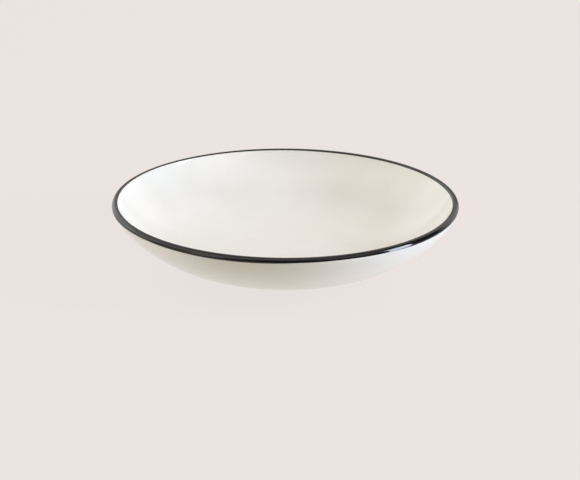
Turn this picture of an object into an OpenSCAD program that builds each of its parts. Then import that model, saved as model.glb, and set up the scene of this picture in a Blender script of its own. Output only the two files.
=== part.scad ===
// Deep plate: a glazed ceramic bowl-shaped plate with a black band over its lip.
// Millimetres, +Z up, origin at the middle of the plate on the table it stands on.
// Every piece is turned about Z from an outline of [radius, height] points.
// The outlines are drawn on the glazed surface, and the clay lies one coat of glaze inside it.

/* [Plate] */
// Diameter across the widest circle of the lip
plate_d = 230; // [206:1:256]
// Height from the table to the top of the lip
plate_h = 42.6; // [36:0.1:52]

/* [Wall] */
// Thickness of the glazed wall where it meets the lip
wall_t = 5; // [3.8:0.1:6.2]
// Slope of the wall where it meets the lip, in degrees from level
wall_slope = 58.2; // [50:0.1:64]
// How far the outer curve keeps the slope of the lip, as the length of its guide line
lip_guide = 25.4; // [18:0.1:32]
// How far the outer curve stays level beside the foot ring, as the length of its guide line
foot_guide = 20.9; // [14:0.1:28]

/* [Floor] */
// Thickness of the glazed floor
floor_t = 5.4; // [4.2:0.1:7]
// Radius where the level floor begins to rise into the wall
floor_r = 45; // [34:0.5:52]

/* [Foot ring] */
// Diameter across the outside of the bare foot
foot_d = 104; // [90:1:116]
// Height of the glazed underside above the table
foot_h = 2.5; // [2:0.1:4]
// Width of the bare foot ring
foot_w = 4.4; // [3:0.1:7]
// Radius of both lower edges of the foot ring
foot_edge_r = 0.5; // [0.3:0.05:0.7]
// Radius of the hollow between the foot ring and the underside
foot_hollow_r = 1.1; // [0.6:0.05:1.3]
// Slope of the sides of the foot ring, in degrees from upright
foot_draft = 10; // [4:1:16]
// Height above the table where the glaze is wiped off the foot ring
bare_h = 0.9; // [0.7:0.05:1.1]

/* [Glaze] */
// Thickness of each coat of glaze
glaze_t = 0.4; // [0.25:0.05:0.55]
// Height of the black band's outer edge on the lip, in degrees above its widest circle
band_edge = 4; // [0:0.5:30]

/* [Smoothness] */
// Straight steps along each long curve
curve_steps = 14; // [8:1:20]
// Straight steps round each small arc
arc_steps = 5; // [3:1:8]

/* [Hidden] */
$fn = 180;

clay_color = "#e9e3d6";
white_color = "#f3f0ea";
black_color = "#17171a";

// The lip is an outer and an inner round, joined by a narrow level top.
lip_outer_share = 0.515;
lip_inner_share = 0.245;
lip_outer_r = wall_t * lip_outer_share;
lip_inner_r = wall_t * lip_inner_share;
// The top's width makes the two sides of the lip meet the wall one wall thickness apart.
lip_rest = wall_t - lip_outer_r - lip_inner_r - (lip_outer_r - lip_inner_r) * cos(wall_slope);
lip_top_w = lip_rest / sin(wall_slope);
lip_outer_c = [plate_d / 2 - lip_outer_r, plate_h - lip_outer_r];
lip_inner_c = [lip_outer_c.x - lip_top_w, plate_h - lip_inner_r];

// The foot ring has the same outline on both sides of its middle circle.
foot_mid_r = (foot_d - foot_w) / 2;
foot_edge_c = [foot_d / 2 - foot_edge_r, foot_edge_r];
foot_rise = (foot_h - foot_hollow_r - foot_edge_r) * sin(foot_draft);
foot_reach = (foot_edge_r + glaze_t + foot_hollow_r + foot_rise) / cos(foot_draft);
foot_hollow_c = [foot_edge_c.x + foot_reach, foot_h - foot_hollow_r];

// Both wall curves are cubic, each drawn from four guide points.
along_wall = [cos(wall_slope), sin(wall_slope)];
into_wall = [-sin(wall_slope), cos(wall_slope)];
outer_end = lip_outer_c - lip_outer_r * into_wall;
inner_end = lip_inner_c + lip_inner_r * into_wall;
floor_z = foot_h + floor_t;
// A curve that turns by this slope has shorter guide lines one thickness further in.
guide_loss_share = 4 / 3 * tan(wall_slope / 4);
outer_start = [foot_hollow_c.x, foot_h];
outer_guides = [
    outer_start,
    outer_start + [foot_guide, 0],
    outer_end - lip_guide * along_wall,
    outer_end
];
inner_guides = [
    [floor_r, floor_z],
    [outer_guides[1].x - floor_t * guide_loss_share, floor_z],
    inner_end - (lip_guide - wall_t * guide_loss_share) * along_wall,
    inner_end
];

function curve_point(g, s) =
    pow(1 - s, 3) * g[0]
    + 3 * pow(1 - s, 2) * s * g[1]
    + 3 * (1 - s) * pow(s, 2) * g[2]
    + pow(s, 3) * g[3];

function curve_heading(g, s) =
    pow(1 - s, 2) * (g[1] - g[0])
    + 2 * (1 - s) * s * (g[2] - g[1])
    + pow(s, 2) * (g[3] - g[2]);

// A direction turned a quarter to the left, at length 1
function left_of(v) = [-v.y, v.x] / norm(v);

// A long curve from its start to its end, moved to the left by a distance
function curve(g, left) = [
    for (i = [0:curve_steps])
        curve_point(g, i / curve_steps) + left * left_of(curve_heading(g, i / curve_steps))
];

// An arc from one angle to another, with both ends
function arc(c, r, from, to) = [
    for (i = [0:arc_steps])
        c + r * [cos(from + (to - from) * i / arc_steps), sin(from + (to - from) * i / arc_steps)]
];

function backwards(points) = [for (i = [len(points) - 1:-1:0]) points[i]];

// Drops the first point of an outline where the one before it ends there
function after_first(points) = [for (i = [1:len(points) - 1]) points[i]];

function before_last(points) = [for (i = [0:len(points) - 2]) points[i]];

// Outlines from here on lie at a depth below the glazed surface: 0, or glaze_t for the clay.
function outer_wall(depth) = curve(outer_guides, depth);

function inner_wall(depth) = curve(inner_guides, -depth);

function lip_outside(depth, from, to) = arc(lip_outer_c, lip_outer_r - depth, from, to);

function lip_inside(depth) = arc(lip_inner_c, lip_inner_r - depth, 90, 90 + wall_slope);

// The hollow beside the foot ring, from the underside down to the ring's side
function foot_hollow(depth) = arc(foot_hollow_c, foot_hollow_r + depth, 90, 180 - foot_draft);

// Where the ring's side passes a height
function foot_side(depth, z) =
    let (edge_r = foot_edge_r + glaze_t - depth)
    [foot_edge_c.x + (edge_r + (z - foot_edge_c.y) * sin(foot_draft)) / cos(foot_draft), z];

// The bare lower edge of the clay ring, from its side to the table
foot_edge = arc(foot_edge_c, foot_edge_r, -foot_draft, -90);

// The same outline on the inner side of the ring
function inner_side(points) = [for (p = points) [2 * foot_mid_r - p.x, p.y]];

module turned(points) {
    rotate_extrude()
        polygon(points);
}

// A coat of glaze between its face and the clay that it lies on
module coat(face, clay) {
    turned(concat(face, backwards(clay)));
}

// The fired clay: floor, wall, lip and bare foot ring
module clay_body() {
    ring_outside = concat(foot_hollow(glaze_t), foot_edge);
    color(clay_color)
        turned(concat(
            [[0, foot_h + glaze_t]],
            inner_side(ring_outside),
            backwards(ring_outside),
            after_first(outer_wall(glaze_t)),
            after_first(lip_outside(glaze_t, wall_slope - 90, 90)),
            lip_inside(glaze_t),
            after_first(backwards(inner_wall(glaze_t))),
            [[0, floor_z - glaze_t]]
        ));
}

// White glaze over the floor and the inside of the wall, up to the black band
module inner_glaze() {
    color(white_color)
        coat(
            concat([[0, floor_z]], inner_wall(0)),
            concat([[0, floor_z - glaze_t]], inner_wall(glaze_t))
        );
}

// White glaze over the outside, from the black band down the wall to the foot ring
function outside_face(depth) = concat(
    before_last(backwards(lip_outside(depth, wall_slope - 90, band_edge))),
    before_last(backwards(outer_wall(depth))),
    foot_hollow(depth),
    [foot_side(depth, bare_h)]
);

module outer_glaze() {
    color(white_color)
        coat(outside_face(0), outside_face(glaze_t));
}

// White glaze over the underside, inside the foot ring
function base_face(depth) = inner_side(concat(
    [[2 * foot_mid_r, foot_h + depth]],
    foot_hollow(depth),
    [foot_side(depth, bare_h)]
));

module base_glaze() {
    color(white_color)
        coat(base_face(0), base_face(glaze_t));
}

// Black glaze over the lip, from the end of its inner round to its widest circle
function band_face(depth) = concat(
    lip_outside(depth, band_edge, 90),
    lip_inside(depth)
);

module rim_glaze() {
    color(black_color)
        coat(band_face(0), band_face(glaze_t));
}

clay_body();
inner_glaze();
outer_glaze();
base_glaze();
rim_glaze();
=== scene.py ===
from math import atan2, cos, pi, radians, sin, tan

import bpy
from mathutils import Matrix, Quaternion, Vector, noise


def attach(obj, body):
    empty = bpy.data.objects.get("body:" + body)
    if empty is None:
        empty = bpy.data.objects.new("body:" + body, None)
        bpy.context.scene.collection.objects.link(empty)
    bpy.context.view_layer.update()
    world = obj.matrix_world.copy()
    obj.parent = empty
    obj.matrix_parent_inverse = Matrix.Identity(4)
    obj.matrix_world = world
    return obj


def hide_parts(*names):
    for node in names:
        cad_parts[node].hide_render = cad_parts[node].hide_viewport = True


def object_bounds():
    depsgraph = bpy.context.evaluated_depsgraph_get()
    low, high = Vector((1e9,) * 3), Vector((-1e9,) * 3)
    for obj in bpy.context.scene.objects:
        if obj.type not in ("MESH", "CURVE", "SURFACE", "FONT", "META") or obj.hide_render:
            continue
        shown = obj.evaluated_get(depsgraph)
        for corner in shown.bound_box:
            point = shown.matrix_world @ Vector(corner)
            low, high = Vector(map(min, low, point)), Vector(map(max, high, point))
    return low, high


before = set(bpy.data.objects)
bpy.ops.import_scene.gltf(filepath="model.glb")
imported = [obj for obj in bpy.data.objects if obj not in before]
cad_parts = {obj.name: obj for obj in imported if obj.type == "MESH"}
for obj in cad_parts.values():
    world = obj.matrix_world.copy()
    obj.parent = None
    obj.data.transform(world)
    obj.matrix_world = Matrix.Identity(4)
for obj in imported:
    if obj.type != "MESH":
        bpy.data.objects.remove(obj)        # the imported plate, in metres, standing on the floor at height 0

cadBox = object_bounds()
print("frame loaded, CAD box", [tuple(round(v, 4) for v in corner) for corner in cadBox])


# A socket by its number, its identifier or its name
def pick(sockets, key):
    if isinstance(key, int):
        return sockets[key]
    for socket in sockets:
        if socket.identifier == key:
            return socket
    return sockets[key]


# One socket as a number: sums, differences and products of it add their Math nodes.
class Wire:
    def __init__(self, tree, socket=None):
        self.tree = tree
        self.socket = socket

    # A node of any type: first its settings, then what its sockets hold or are linked to
    def node(self, kind, settings=None, sockets=None, out=0):
        made = self.tree.nodes.new(kind)
        for key, value in (settings or {}).items():
            setattr(made, key, value)
        for key, value in (sockets or {}).items():
            end = pick(made.inputs, key)
            if isinstance(value, Wire):
                self.tree.links.new(value.socket, end)
            else:
                end.default_value = value
        return Wire(self.tree, pick(made.outputs, out)) if len(made.outputs) else None

    def maths(self, operation, first, second):
        return self.node("ShaderNodeMath", {"operation": operation}, {0: first, 1: second})

    def __add__(self, other):
        return self.maths("ADD", self, other)

    def __mul__(self, other):
        return self.maths("MULTIPLY", self, other)

    def __sub__(self, other):
        return self.maths("SUBTRACT", self, other)

    def __rsub__(self, other):
        return self.maths("SUBTRACT", other, self)

    __radd__ = __add__
    __rmul__ = __mul__


# How many finer layers lie over a noise's main blobs
layers = {"round": 0, "even": 1, "soft": 2, "ragged": 3, "gritty": 4}


# Noise whose blobs are about this size, from 0 to 1
def blotches(paint, place, size, kind):
    return paint.node(
        "ShaderNodeTexNoise",
        {"noise_dimensions": "3D"},
        {"Vector": place, "Scale": 1 / size, "Detail": layers[kind]},
    )


# A value's way from low to high, as a soft step
def between(paint, value, low, high, toLow=0.0, toHigh=1.0):
    return paint.node(
        "ShaderNodeMapRange",
        {"interpolation_type": "SMOOTHSTEP", "clamp": True},
        {"Value": value, "From Min": low, "From Max": high, "To Min": toLow, "To Max": toHigh},
    )


# Noise stretched so that it reaches both of its new ends
def spread(paint, noiseValue, ends=(0.0, 1.0)):
    usualLow, usualHigh = 0.3, 0.7
    return between(paint, noiseValue, usualLow, usualHigh, *ends)


def tint(paint, mask, first, second):
    return paint.node(
        "ShaderNodeMix",
        {"data_type": "RGBA"},
        {"Factor_Float": mask, "A_Color": first, "B_Color": second},
        "Result_Color",
    )


# An empty finish, with its piece's own coordinates in metres
def newFinish(name):
    material = bpy.data.materials.new(name)
    material.use_nodes = True
    material.node_tree.nodes.clear()
    paint = Wire(material.node_tree)
    place = paint.node("ShaderNodeTexCoord", out="Object")
    return material, paint, place


def closeFinish(paint, sockets):
    shader = paint.node("ShaderNodeBsdfPrincipled", sockets=sockets)
    paint.node("ShaderNodeOutputMaterial", sockets={"Surface": shader})


def opaque(colour):
    return (*colour, 1.0)


# The outline's sizes in metres. Its reach comes from the frame, so it fills the same space.
plate = {
    "across": 2 * cadBox[1].x,
    "height": cadBox[1].z,
    "wallThickness": 0.005,
    "wallSlope": radians(58.2),
    "lipGuide": 0.0254,
    "footGuide": 0.0209,
    "floorThickness": 0.0054,
    "floorRadius": 0.045,
    "footAcross": 0.104,
    "footHeight": 0.0025,
    "footWidth": 0.0044,
    "footEdge": 0.0005,
    "footHollow": 0.0011,
    "footDraft": radians(10),
    "bareHeight": 0.0009,
    "glaze": 0.0004,
    "lipOuterShare": 0.515,
    "lipInnerShare": 0.245,
    "bandOuterEdge": radians(1),   # above the lip's widest circle
    "bandInside": -0.0001,         # how far the band runs down past the lip's inner round
    "outerAskew": 0.0003,          # how much lower the brush ran outside on one side
    "outerAskewTurn": radians(215),    # which side that was, round the plate from +X
    "outerWave": 0.0003,           # how far the outer edge swings as the brush was dipped again
    "outerWaves": 5,
    "outerWaveTurn": radians(250),
    "innerAskew": 0.0006,          # how much narrower the band is inside on one side
    "innerAskewTurn": radians(210),
    "brushWander": 0.00012,        # how far a hand-held brush strays along the band's edges
    "strayWaves": (2.3, 7.1),      # how quickly it strays round the plate, coarse and fine
    "strayFine": 0.5,              # the fine straying's part beside the coarse one's
    "outerStray": 3.7,             # where each edge's own straying lies in the noise
    "innerStray": 8.2,
    "outOfTrue": 0.00015,          # how far firing bends the lip out of level
    "outOfTrueTurn": 0.6,
    "sharpFrom": radians(40),      # an edge that turns more than this stays crisp
    "turns": 300,
    "wallSteps": 56,
    "arcSteps": 12,
    "edgeStretch": 0.0015,         # the part of the inner wall that is drawn finer, beside the band
    "edgeSteps": 8,
    "wipeSteps": 5,
}


def flatPoint(radius, height):
    return Vector((radius, height))


def guided(guides, share):
    rest = 1 - share
    weights = (rest**3, 3 * rest**2 * share, 3 * rest * share**2, share**3)
    return sum((w * g for w, g in zip(weights, guides)), Vector((0, 0)))


def heading(guides, share):
    rest = 1 - share
    weights = (rest**2, 2 * rest * share, share**2)
    steps = [b - a for a, b in zip(guides, guides[1:])]
    return sum((w * s for w, s in zip(weights, steps)), Vector((0, 0)))


# A stretch of the guided curve, from one share of its length to another, moved to its left
def longCurve(guides, left, start=0.0, end=1.0, steps=plate["wallSteps"]):
    points = []
    for i in range(steps + 1):
        share = start + (end - start) * i / steps
        way = heading(guides, share).normalized()
        points.append(guided(guides, share) + left * flatPoint(-way.y, way.x))
    return points


def arc(centre, radius, start, end, steps=plate["arcSteps"]):
    angles = [start + (end - start) * i / steps for i in range(steps + 1)]
    return [centre + radius * flatPoint(cos(a), sin(a)) for a in angles]


upright = pi / 2
slope = plate["wallSlope"]
alongWall = flatPoint(cos(slope), sin(slope))
intoWall = flatPoint(-sin(slope), cos(slope))

# The lip: an outer and an inner round with a narrow level top between them
lipOuterR = plate["wallThickness"] * plate["lipOuterShare"]
lipInnerR = plate["wallThickness"] * plate["lipInnerShare"]
lipRest = plate["wallThickness"] - lipOuterR - lipInnerR - (lipOuterR - lipInnerR) * cos(slope)
lipOuterC = flatPoint(plate["across"] / 2 - lipOuterR, plate["height"] - lipOuterR)
lipInnerC = flatPoint(lipOuterC.x - lipRest / sin(slope), plate["height"] - lipInnerR)

# The foot ring: both its sides have one outline, mirrored on its middle circle.
footMid = (plate["footAcross"] - plate["footWidth"]) / 2
footEdgeC = flatPoint(plate["footAcross"] / 2 - plate["footEdge"], plate["footEdge"])
footRise = (plate["footHeight"] - plate["footHollow"] - plate["footEdge"]) * sin(plate["footDraft"])
footReach = plate["footEdge"] + plate["glaze"] + plate["footHollow"] + footRise
footHollowC = flatPoint(
    footEdgeC.x + footReach / cos(plate["footDraft"]),
    plate["footHeight"] - plate["footHollow"],
)

# Both faces of the wall are cubic curves, drawn from four guide points each.
guideLoss = 4 / 3 * tan(slope / 4)
outerEnd = lipOuterC - lipOuterR * intoWall
innerEnd = lipInnerC + lipInnerR * intoWall
floorHeight = plate["footHeight"] + plate["floorThickness"]
outerStart = flatPoint(footHollowC.x, plate["footHeight"])
outerGuides = [
    outerStart,
    outerStart + flatPoint(plate["footGuide"], 0),
    outerEnd - plate["lipGuide"] * alongWall,
    outerEnd,
]
innerGuides = [
    flatPoint(plate["floorRadius"], floorHeight),
    flatPoint(outerGuides[1].x - plate["floorThickness"] * guideLoss, floorHeight),
    innerEnd - (plate["lipGuide"] - plate["wallThickness"] * guideLoss) * alongWall,
    innerEnd,
]


# How fast the inner curve runs at its upper end, per share of its length
innerEndSpeed = 3 * (innerGuides[3] - innerGuides[2]).length


# Stretches of the outline at a depth under the glazed face: 0, or the glaze's thickness
def outerWall(depth):
    return longCurve(outerGuides, depth)


def innerWall(depth, end=1.0):
    return longCurve(innerGuides, -depth, end=end)


# A point on the inside, so far along the face from the top of the lip's inner round
def insidePoint(depth, far):
    turned = min(far / lipInnerR, slope)
    share = 1 - max(0.0, far - lipInnerR * slope) / innerEndSpeed
    if share < 1:
        return longCurve(innerGuides, -depth, share, share, 1)[0]
    return lipInnerC + (lipInnerR - depth) * flatPoint(-sin(turned), cos(turned))


def insideStretch(depth, start, end, steps):
    return [insidePoint(depth, start + (end - start) * i / steps) for i in range(steps + 1)]


def lipOutside(depth, start, end):
    return arc(lipOuterC, lipOuterR - depth, start, end)


def lipInside(depth):
    return arc(lipInnerC, lipInnerR - depth, upright, upright + slope)


def footHollow(depth):
    draft = plate["footDraft"]
    return arc(footHollowC, plate["footHollow"] + depth, upright, pi - draft)


def footSide(depth, height):
    edge = plate["footEdge"] + plate["glaze"] - depth
    draft = plate["footDraft"]
    return flatPoint(footEdgeC.x + (edge + (height - footEdgeC.y) * sin(draft)) / cos(draft), height)


def innerSide(points):
    return [flatPoint(2 * footMid - p.x, p.y) for p in points]


# The glaze's wiped end on the foot: it thins out to the clay in a rounded edge.
def wipedEnd():
    points = []
    for i in range(plate["wipeSteps"] + 1):
        a = upright * i / plate["wipeSteps"]
        depth = plate["glaze"] * (1 - cos(a))
        points.append(footSide(depth, plate["bareHeight"] + plate["glaze"] * (1 - sin(a))))
    return points


# How far the band's brush strays at a place round the lip, mostly between -1 and 1
def stray(turn, level):
    ring = Vector((cos(turn), sin(turn), level))
    coarse, fine = plate["strayWaves"]
    return noise.noise(coarse * ring) + plate["strayFine"] * noise.noise(fine * ring)


# The band's edges: an angle on the lip's outer round, and how far along the inside it ends
def bandEdges(turn):
    wander = plate["brushWander"]
    low = plate["outerAskew"] * cos(turn - plate["outerAskewTurn"])
    low += plate["outerWave"] * cos(plate["outerWaves"] * (turn - plate["outerWaveTurn"]))
    short = plate["innerAskew"] * cos(turn - plate["innerAskewTurn"])
    outer = plate["bandOuterEdge"] - (low + wander * stray(turn, plate["outerStray"])) / lipOuterR
    inner = lipInnerR * slope + plate["bandInside"] - short
    inner += wander * stray(turn, plate["innerStray"])
    return outer, inner


# Each coat's outline at a place round the plate, closed by the clay's side run backwards
def clayOutline(turn):
    deep = plate["glaze"]
    ring = footHollow(deep) + arc(footEdgeC, plate["footEdge"], -plate["footDraft"], -upright)
    return (
        [flatPoint(0, plate["footHeight"] + deep)]
        + innerSide(ring)
        + ring[::-1]
        + outerWall(deep)[1:]
        + lipOutside(deep, slope - upright, upright)[1:]
        + lipInside(deep)
        + innerWall(deep)[::-1][1:]
        + [flatPoint(0, floorHeight - deep)]
    )


def innerCoat(turn):
    edge = bandEdges(turn)[1]

    def face(depth):
        wall = innerWall(depth, 1 - plate["edgeStretch"] / innerEndSpeed)
        last = lipInnerR * slope + plate["edgeStretch"]
        top = insideStretch(depth, last, edge, plate["edgeSteps"])
        return [flatPoint(0, floorHeight - depth)] + wall + top[1:]

    return face(plate["glaze"]) + face(0)[::-1]


def outerCoat(turn):
    edge = bandEdges(turn)[0]

    def face(depth):
        wall = outerWall(depth)[::-1]
        return lipOutside(depth, edge, slope - upright)[:-1] + wall[:-1] + footHollow(depth)

    return face(plate["glaze"]) + wipedEnd()[::-1] + face(0)[::-1]


def baseCoat(turn):
    def face(depth):
        return [flatPoint(0, plate["footHeight"] + depth)] + innerSide(footHollow(depth))

    return face(0) + innerSide(wipedEnd()) + face(plate["glaze"])[::-1]


def bandCoat(turn):
    outer, inner = bandEdges(turn)

    def face(depth):
        inside = insideStretch(depth, 0, inner, plate["arcSteps"])
        return lipOutside(depth, outer, upright) + inside

    return face(0) + face(plate["glaze"])[::-1]


# Where a point of the outline lies in space: the fired lip isn't quite level.
def fired(point, turn):
    foot = plate["footAcross"] / 2
    out = max(0.0, point.x - foot) / (plate["across"] / 2 - foot)
    lift = plate["outOfTrue"] * out**2 * (cos(2 * turn + plate["outOfTrueTurn"]) - 1)
    return Vector((point.x * cos(turn), point.x * sin(turn), point.y + lift))


# A closed mesh turned about the plate's axis from an outline that may change as it turns
def turnedPiece(name, outlineAt, finish, node):
    turns = plate["turns"]
    verts, rings = [], []
    axis = {}
    for k in range(turns):
        turn = 2 * pi * k / turns
        ring = []
        for i, point in enumerate(outlineAt(turn)):
            if point.x == 0:
                if i not in axis:
                    axis[i] = len(verts)
                    verts.append(fired(point, turn))
                ring.append(axis[i])
            else:
                ring.append(len(verts))
                verts.append(fired(point, turn))
        rings.append(ring)
    faces = []
    count = len(rings[0])
    for k in range(turns):
        here, there = rings[k], rings[(k + 1) % turns]
        for i in range(count):
            j = (i + 1) % count
            corners = [here[i], there[i], there[j], here[j]]
            corners = [c for n, c in enumerate(corners) if c not in corners[:n]]
            if len(corners) > 2:
                faces.append(corners)
    mesh = bpy.data.meshes.new(name)
    mesh.from_pydata(verts, [], faces)
    mesh.validate()
    mesh.polygons.foreach_set("use_smooth", [True] * len(mesh.polygons))
    mesh.set_sharp_from_angle(angle=plate["sharpFrom"])
    mesh.materials.append(finish)
    piece = bpy.data.objects.new(name, mesh)
    bpy.context.scene.collection.objects.link(piece)
    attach(piece, "root")
    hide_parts(node)
    print(name, len(verts), "points")


glassy = 1.5    # how strongly a glaze bends light


# White glaze: warm, glossy, a little uneven in tone and in level, with rare pale specks.
# Outside it carries painted shade: greyer, and darker towards the band, warm in the middle,
# with painted light making it bluer on the right and lighter on the left. Pairs called sides run from one
# place along X to another.
whiteGlaze = {
    "white": (0.905, 0.89, 0.845),
    "cream": (0.885, 0.868, 0.812),
    # Painted shade: the outside's white is a darker copy of the inside's white.
    "outerShadedWhite": (0.76, 0.755, 0.685),
    "outerShadedCream": (0.74, 0.735, 0.655),
    # Painted light: the lighter, bluer tone of the outside's lit right side.
    "outerLitCool": (0.79, 0.8, 0.755),
    # Painted shade: the darker tones towards the band, warm in the middle and bluer on the lit right.
    "outerShadeWarm": (0.65, 0.635, 0.538),
    "outerShadeCool": (0.715, 0.735, 0.71),
    "litCoolSides": (-0.01, 0.06),
    # Painted light: the lighter tone of the outside's left end.
    "outerLitLeft": (0.81, 0.8, 0.74),
    "litLeftSides": (-0.035, -0.09),
    "shadeFrom": 0.016,
    "shadeTo": 0.038,
    # Painted shade: the grey strip under the band.
    "besideBand": (0.4, 0.44, 0.46),    # a thin grey strip right under the band
    "besideBandWidth": 0.0013,
    "besideBandSides": (0.05, -0.03),   # it comes in towards the left
    "besideRightSides": (0.05, 0.085),  # and again towards the right, a little weaker
    "besideRightShare": 0.9,
    "besideBandUneven": (0.6, 1.0),
    "besideBandBlobs": 0.003,
    "cloudSize": 0.03,
    "cloudEdges": (0.35, 0.65),
    "speck": (0.76, 0.73, 0.66),
    "speckGap": 0.0011,
    "speckEdges": (0.22, 0.1),
    "speckDepth": 0.3,
    "speckGroups": 0.004,
    "speckGroupEdges": (0.68, 0.74),
    "rippleSize": 0.011,
    "rippleHeight": 0.000006,
    "glossBlobs": 0.02,
    "roughness": (0.05, 0.11),
}


def glazeWhite(name, white, cream, bandHeight=None):
    material, paint, place = newFinish(name)
    clouds = blotches(paint, place, whiteGlaze["cloudSize"], "ragged")
    tone = between(paint, clouds, *whiteGlaze["cloudEdges"])
    colour = tint(paint, tone, opaque(whiteGlaze[white]), opaque(whiteGlaze[cream]))
    # With bandHeight, the outside gets painted light and shade, set by place on the plate.
    if bandHeight:
        up = paint.node("ShaderNodeSeparateXYZ", sockets={0: place}, out="Z")
        along = paint.node("ShaderNodeSeparateXYZ", sockets={0: place}, out="X")
        # Painted light: the outside turns lighter and bluer towards +X, the window's side.
        cool = between(paint, along, *whiteGlaze["litCoolSides"])
        colour = tint(paint, cool, colour, opaque(whiteGlaze["outerLitCool"]))
        # Painted shade: the outside darkens towards the band, warmer in the middle and bluer on the lit
        # right.
        bandShadeWarm, bandShadeCool = whiteGlaze["outerShadeWarm"], whiteGlaze["outerShadeCool"]
        bandShadeTone = tint(paint, cool, opaque(bandShadeWarm), opaque(bandShadeCool))
        thin = between(paint, up, whiteGlaze["shadeFrom"], whiteGlaze["shadeTo"])
        colour = tint(paint, thin, colour, bandShadeTone)
        # Painted light: the outside's left end is lighter.
        litLeft = between(paint, along, *whiteGlaze["litLeftSides"])
        colour = tint(paint, litLeft, colour, opaque(whiteGlaze["outerLitLeft"]))
        # Painted shade: a grey strip right under the band, on the left and right parts of the outside.
        blobs = blotches(paint, place, whiteGlaze["besideBandBlobs"], "soft")
        uneven = spread(paint, blobs, whiteGlaze["besideBandUneven"])
        low = bandHeight - whiteGlaze["besideBandWidth"]
        beside = between(paint, up, low, bandHeight) * uneven
        leftSide = between(paint, along, *whiteGlaze["besideBandSides"])
        rightFrom, rightTo = whiteGlaze["besideRightSides"]
        rightSide = between(paint, along, rightFrom, rightTo, 0.0, whiteGlaze["besideRightShare"])
        beside = beside * (leftSide + rightSide)
        colour = tint(paint, beside, colour, opaque(whiteGlaze["besideBand"]))
    gaps = paint.node(
        "ShaderNodeTexVoronoi",
        {"feature": "F1"},
        {"Vector": place, "Scale": 1 / whiteGlaze["speckGap"], "Randomness": 1.0},
        "Distance",
    )
    groups = blotches(paint, place, whiteGlaze["speckGroups"], "round")
    rare = between(paint, groups, *whiteGlaze["speckGroupEdges"])
    speck = between(paint, gaps, *whiteGlaze["speckEdges"]) * rare
    colour = tint(paint, speck, colour, opaque(whiteGlaze["speck"]))
    ripple = blotches(paint, place, whiteGlaze["rippleSize"], "soft")
    polish = blotches(paint, place, whiteGlaze["glossBlobs"], "soft")
    bump = paint.node(
        "ShaderNodeBump",
        sockets={
            "Strength": 1.0,
            "Distance": whiteGlaze["rippleHeight"],
            "Height": ripple - whiteGlaze["speckDepth"] * speck,
        },
    )
    closeFinish(paint, {
        "Base Color": colour,
        "Roughness": spread(paint, polish, whiteGlaze["roughness"]),
        "IOR": glassy,
        "Normal": bump,
    })
    return material


# Black glaze: deep and glossy, browner where the brush thinned it out beside the white
blackGlaze = {
    "black": (0.004, 0.004, 0.005),
    "thin": (0.013, 0.01, 0.008),
    "thinWidth": 0.00035,
    "thinUneven": (0.3, 1.0),
    "thinBlobs": 0.003,
    "rippleSize": 0.006,
    "rippleHeight": 0.000006,
    "glossBlobs": 0.008,
    "roughness": (0.04, 0.1),
}


def glazeBlack():
    material, paint, place = newFinish("black glaze")
    up = paint.node("ShaderNodeSeparateXYZ", sockets={0: place}, out="Z")
    flatPlace = paint.node(
        "ShaderNodeVectorMath", {"operation": "MULTIPLY"}, {0: place, 1: (1, 1, 0)}
    )
    reach = paint.node("ShaderNodeVectorMath", {"operation": "LENGTH"}, {0: flatPlace}, "Value")
    innerLimit = innerEnd.x
    lowLimit = lipOuterC.y + lipOuterR * sin(plate["bandOuterEdge"])
    width = blackGlaze["thinWidth"]
    thinInside = between(paint, reach, innerLimit + width, innerLimit)
    thinOutside = between(paint, up, lowLimit + width, lowLimit)
    blobs = blotches(paint, place, blackGlaze["thinBlobs"], "soft")
    thin = (thinInside + thinOutside) * spread(paint, blobs, blackGlaze["thinUneven"])
    colour = tint(paint, thin, opaque(blackGlaze["black"]), opaque(blackGlaze["thin"]))
    polish = blotches(paint, place, blackGlaze["glossBlobs"], "soft")
    bump = paint.node(
        "ShaderNodeBump",
        sockets={
            "Strength": 1.0,
            "Distance": blackGlaze["rippleHeight"],
            "Height": blotches(paint, place, blackGlaze["rippleSize"], "soft"),
        },
    )
    closeFinish(paint, {
        "Base Color": colour,
        "Roughness": spread(paint, polish, blackGlaze["roughness"]),
        "IOR": glassy,
        "Normal": bump,
    })
    return material


# Bare clay: matt, sandy, with fine dark grains
bareClay = {
    "body": (0.72, 0.66, 0.55),
    "pale": (0.78, 0.73, 0.63),
    "toneSize": 0.006,
    "grain": (0.42, 0.33, 0.24),
    "grainSize": 0.0005,
    "grainEdges": (0.66, 0.72),
    "sandSize": 0.0015,
    "sandHeight": 0.00004,
    "sandStrength": 0.6,
    "roughness": (0.75, 0.9),
}


def clayBare():
    material, paint, place = newFinish("bare clay")
    tone = spread(paint, blotches(paint, place, bareClay["toneSize"], "gritty"))
    colour = tint(paint, tone, opaque(bareClay["body"]), opaque(bareClay["pale"]))
    grains = blotches(paint, place, bareClay["grainSize"], "even")
    dark = between(paint, grains, *bareClay["grainEdges"])
    colour = tint(paint, dark, colour, opaque(bareClay["grain"]))
    gloss = spread(paint, grains, bareClay["roughness"])
    bump = paint.node(
        "ShaderNodeBump",
        sockets={
            "Strength": bareClay["sandStrength"],
            "Distance": bareClay["sandHeight"],
            "Height": grains + blotches(paint, place, bareClay["sandSize"], "ragged"),
        },
    )
    closeFinish(paint, {"Base Color": colour, "Roughness": gloss, "Normal": bump})
    return material


whiteFinish = glazeWhite("white glaze", "white", "cream")
# The outside's finish: the white glaze with painted shade and painted light.
outerFinish = glazeWhite("shaded white glaze", "outerShadedWhite", "outerShadedCream", lipOuterC.y)
blackFinish = glazeBlack()
clayFinish = clayBare()
print("finishes made")

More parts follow.
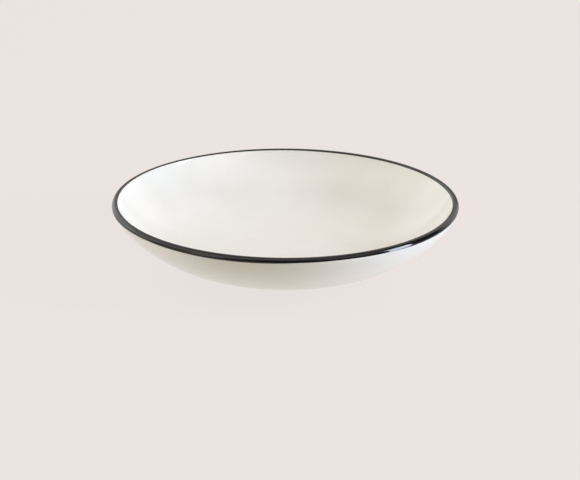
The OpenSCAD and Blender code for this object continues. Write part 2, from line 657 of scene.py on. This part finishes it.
turnedPiece("FiredClay", clayOutline, clayFinish, "clay_body")
turnedPiece("InnerWhiteGlaze", innerCoat, whiteFinish, "inner_glaze")
turnedPiece("OuterWhiteGlaze", outerCoat, outerFinish, "outer_glaze")
turnedPiece("BaseWhiteGlaze", baseCoat, outerFinish, "base_glaze")
turnedPiece("BlackBand", bandCoat, blackFinish, "rim_glaze")
print("plate made")


# The table: a pale sheet that glows by itself, so the plate casts only a faint shadow.
# It ends close beside the plate, so the window also shines up from below its level.
table = {
    "side": 0.3,
    "front": 0.65,
    "back": 0.9,
    "sheet": (0.08, 0.074, 0.071),
    "glow": (0.76, 0.703, 0.682),
    "grainSize": 0.002,
    "grainHeight": 0.00002,
    "roughness": 0.9,
}


def makeTable():
    side, front, back = table["side"], table["front"], table["back"]
    corners = [(-side, -front, 0), (side, -front, 0), (side, back, 0), (-side, back, 0)]
    mesh = bpy.data.meshes.new("PaleTable")
    mesh.from_pydata(corners, [], [(0, 1, 2, 3)])
    material, paint, place = newFinish("pale sheet")
    grain = blotches(paint, place, table["grainSize"], "ragged")
    bump = paint.node("ShaderNodeBump", sockets={"Distance": table["grainHeight"], "Height": grain})
    closeFinish(paint, {
        "Base Color": opaque(table["sheet"]),
        "Roughness": table["roughness"],
        "Specular IOR Level": 0.0,
        "Emission Color": opaque(table["glow"]),
        "Emission Strength": 1.0,
        "Normal": bump,
    })
    mesh.materials.append(material)
    sheet = bpy.data.objects.new("PaleTable", mesh)
    bpy.context.scene.collection.objects.link(sheet)


makeTable()


# A direction from the plate: its azimuth runs from the camera's side over the right
def towards(azimuth, height):
    around, up = radians(azimuth), radians(height)
    return Vector((sin(around) * cos(up), -cos(around) * cos(up), sin(up)))


# Lamps: where each stands in degrees, how far it leans, how wide, high and bright it is
lamps = {
    "RightWindow": {
        "azimuth": 78.5, "height": 13.2, "distance": 2.0, "lean": radians(9),
        "size": (0.62, 1.72), "brightness": 12.7, "colour": (0.95, 1.04, 1.2),
    },
    "LeftPanel": {
        "azimuth": 250.0, "height": 23.0, "distance": 2.0, "lean": 0.0,
        "size": (1.07, 1.6), "brightness": 0.5, "colour": (1.0, 1.0, 1.0),
    },
}

# The room: pale as the sheet below the horizon and dark above it, with soft round patches of
# light there. Each lies at a place in degrees, reaches so far, and fades over its soft part.
room = {
    "horizon": 0.01,
    "base": (0.06, 0.06, 0.06),
    "below": (0.84, 0.775, 0.75),
    "patches": {
        "back corner": {
            "azimuth": 143, "height": 12, "reach": 24, "soft": 0.6, "light": (0.83, 0.76, 0.72),
        },
        "back wall": {
            "azimuth": 175, "height": 43, "reach": 37, "soft": 0.6, "light": (0.72, 0.69, 0.63),
        },
        "ceiling": {
            "azimuth": 12, "height": 88, "reach": 28, "soft": 0.95, "light": (0.65, 0.57, 0.5),
        },
        "front ceiling": {
            "azimuth": 345, "height": 70, "reach": 28, "soft": 1.0, "light": (0.8, 0.75, 0.71),
        },
        "left ceiling": {
            "azimuth": 282, "height": 54, "reach": 24, "soft": 1.0, "light": (1.38, 1.22, 1.1),
        },
        "left door": {
            "azimuth": 215, "height": 10, "reach": 30, "soft": 0.7, "light": (1.06, 1.13, 1.2),
        },
        "left front": {
            "azimuth": 315, "height": 42, "reach": 24, "soft": 1.0, "light": (0.82, 0.75, 0.71),
        },
        "left lamp": {
            "azimuth": 306, "height": 24, "reach": 16, "soft": 0.5, "light": (1.3, 1.3, 1.2),
        },
        "left low": {
            "azimuth": 292, "height": 2, "reach": 24, "soft": 0.9, "light": (0.8, 0.8, 0.45),
        },
        "left wall": {
            "azimuth": 251, "height": 32, "reach": 34, "soft": 0.55, "light": (0.92, 0.92, 0.93),
        },
        "right ceiling": {
            "azimuth": 72, "height": 56, "reach": 22, "soft": 1.0, "light": (0.78, 0.77, 0.84),
        },
        "right front": {
            "azimuth": 45, "height": 40, "reach": 26, "soft": 1.0, "light": (0.64, 0.6, 0.5),
        },
    },
}


def makeLamp(name, at):
    lamp = bpy.data.lights.new(name, "AREA")
    lamp.shape = "RECTANGLE"
    lamp.size, lamp.size_y = at["size"]
    lamp.energy = at["brightness"] * pi * lamp.size * lamp.size_y
    lamp.color = at["colour"]
    way = towards(at["azimuth"], at["height"])
    stand = bpy.data.objects.new(name, lamp)
    stand.location = Vector((0, 0, plate["height"])) + way * at["distance"]
    stand.rotation_mode = "QUATERNION"
    stand.rotation_quaternion = way.to_track_quat("Z", "Y") @ Quaternion((0, 0, 1), -at["lean"])
    bpy.context.scene.collection.objects.link(stand)


def makeRoom():
    world = bpy.data.worlds.new("Room")
    world.use_nodes = True
    world.node_tree.nodes.clear()
    paint = Wire(world.node_tree)
    way = paint.node("ShaderNodeTexCoord", out="Generated")
    up = paint.node("ShaderNodeSeparateXYZ", sockets={0: way}, out="Z")
    above = between(paint, up, -room["horizon"], room["horizon"])
    light = tint(paint, above, opaque(room["below"]), opaque(room["base"]))
    for patch in room["patches"].values():
        axis = towards(patch["azimuth"], patch["height"])
        near = paint.node("ShaderNodeVectorMath", {"operation": "DOT_PRODUCT"}, {0: way, 1: axis}, "Value")
        edge = cos(radians(patch["reach"]))
        full = cos(radians(patch["reach"] * (1 - patch["soft"])))
        mask = between(paint, near, edge, full) * above
        light = paint.node(
            "ShaderNodeVectorMath", {"operation": "MULTIPLY_ADD"}, {0: mask, 1: patch["light"], 2: light}
        )
    shader = paint.node("ShaderNodeBackground", sockets={"Color": light, "Strength": 1.0})
    paint.node("ShaderNodeOutputWorld", sockets={"Surface": shader})
    bpy.context.scene.world = world
    bpy.context.scene.view_settings.view_transform = "Standard"


for lampName, lampPlace in lamps.items():
    makeLamp(lampName, lampPlace)
makeRoom()

# The camera: the photograph's height over the table, with the lip's middle at its own pixel
shot = {
    "height": radians(18.84),
    "distance": 16 * plate["across"] / 2,
    "pixelsPerRadius": 173.32,
    "lipPixel": (285.3, 203.56),
    "picture": (580, 480),
    "roll": radians(0.22),
    "sensor": 36.0,
}


def makeCamera():
    wide, high = shot["picture"]
    pixelsDeep = shot["pixelsPerRadius"] * shot["distance"] / (plate["across"] / 2)
    back = Vector((0, -cos(shot["height"]), sin(shot["height"])))
    aim = back.to_track_quat("Z", "Y").to_matrix()
    # Turned so that the lip's middle leaves the picture's middle for its own pixel
    right = atan2(shot["lipPixel"][0] - wide / 2, pixelsDeep)
    down = atan2(shot["lipPixel"][1] - high / 2, pixelsDeep)
    turned = aim @ Matrix.Rotation(right, 3, "Y") @ Matrix.Rotation(down, 3, "X")
    turned = turned @ Matrix.Rotation(shot["roll"], 3, "Z")
    lens = bpy.data.cameras.new("Camera")
    lens.sensor_width = shot["sensor"]
    lens.lens = pixelsDeep / wide * shot["sensor"]
    camera = bpy.data.objects.new("Camera", lens)
    middle = Vector((0, 0, lipOuterC.y))
    camera.matrix_world = Matrix.Translation(middle + back * shot["distance"]) @ turned.to_4x4()
    bpy.context.scene.collection.objects.link(camera)
    bpy.context.scene.camera = camera


makeCamera()
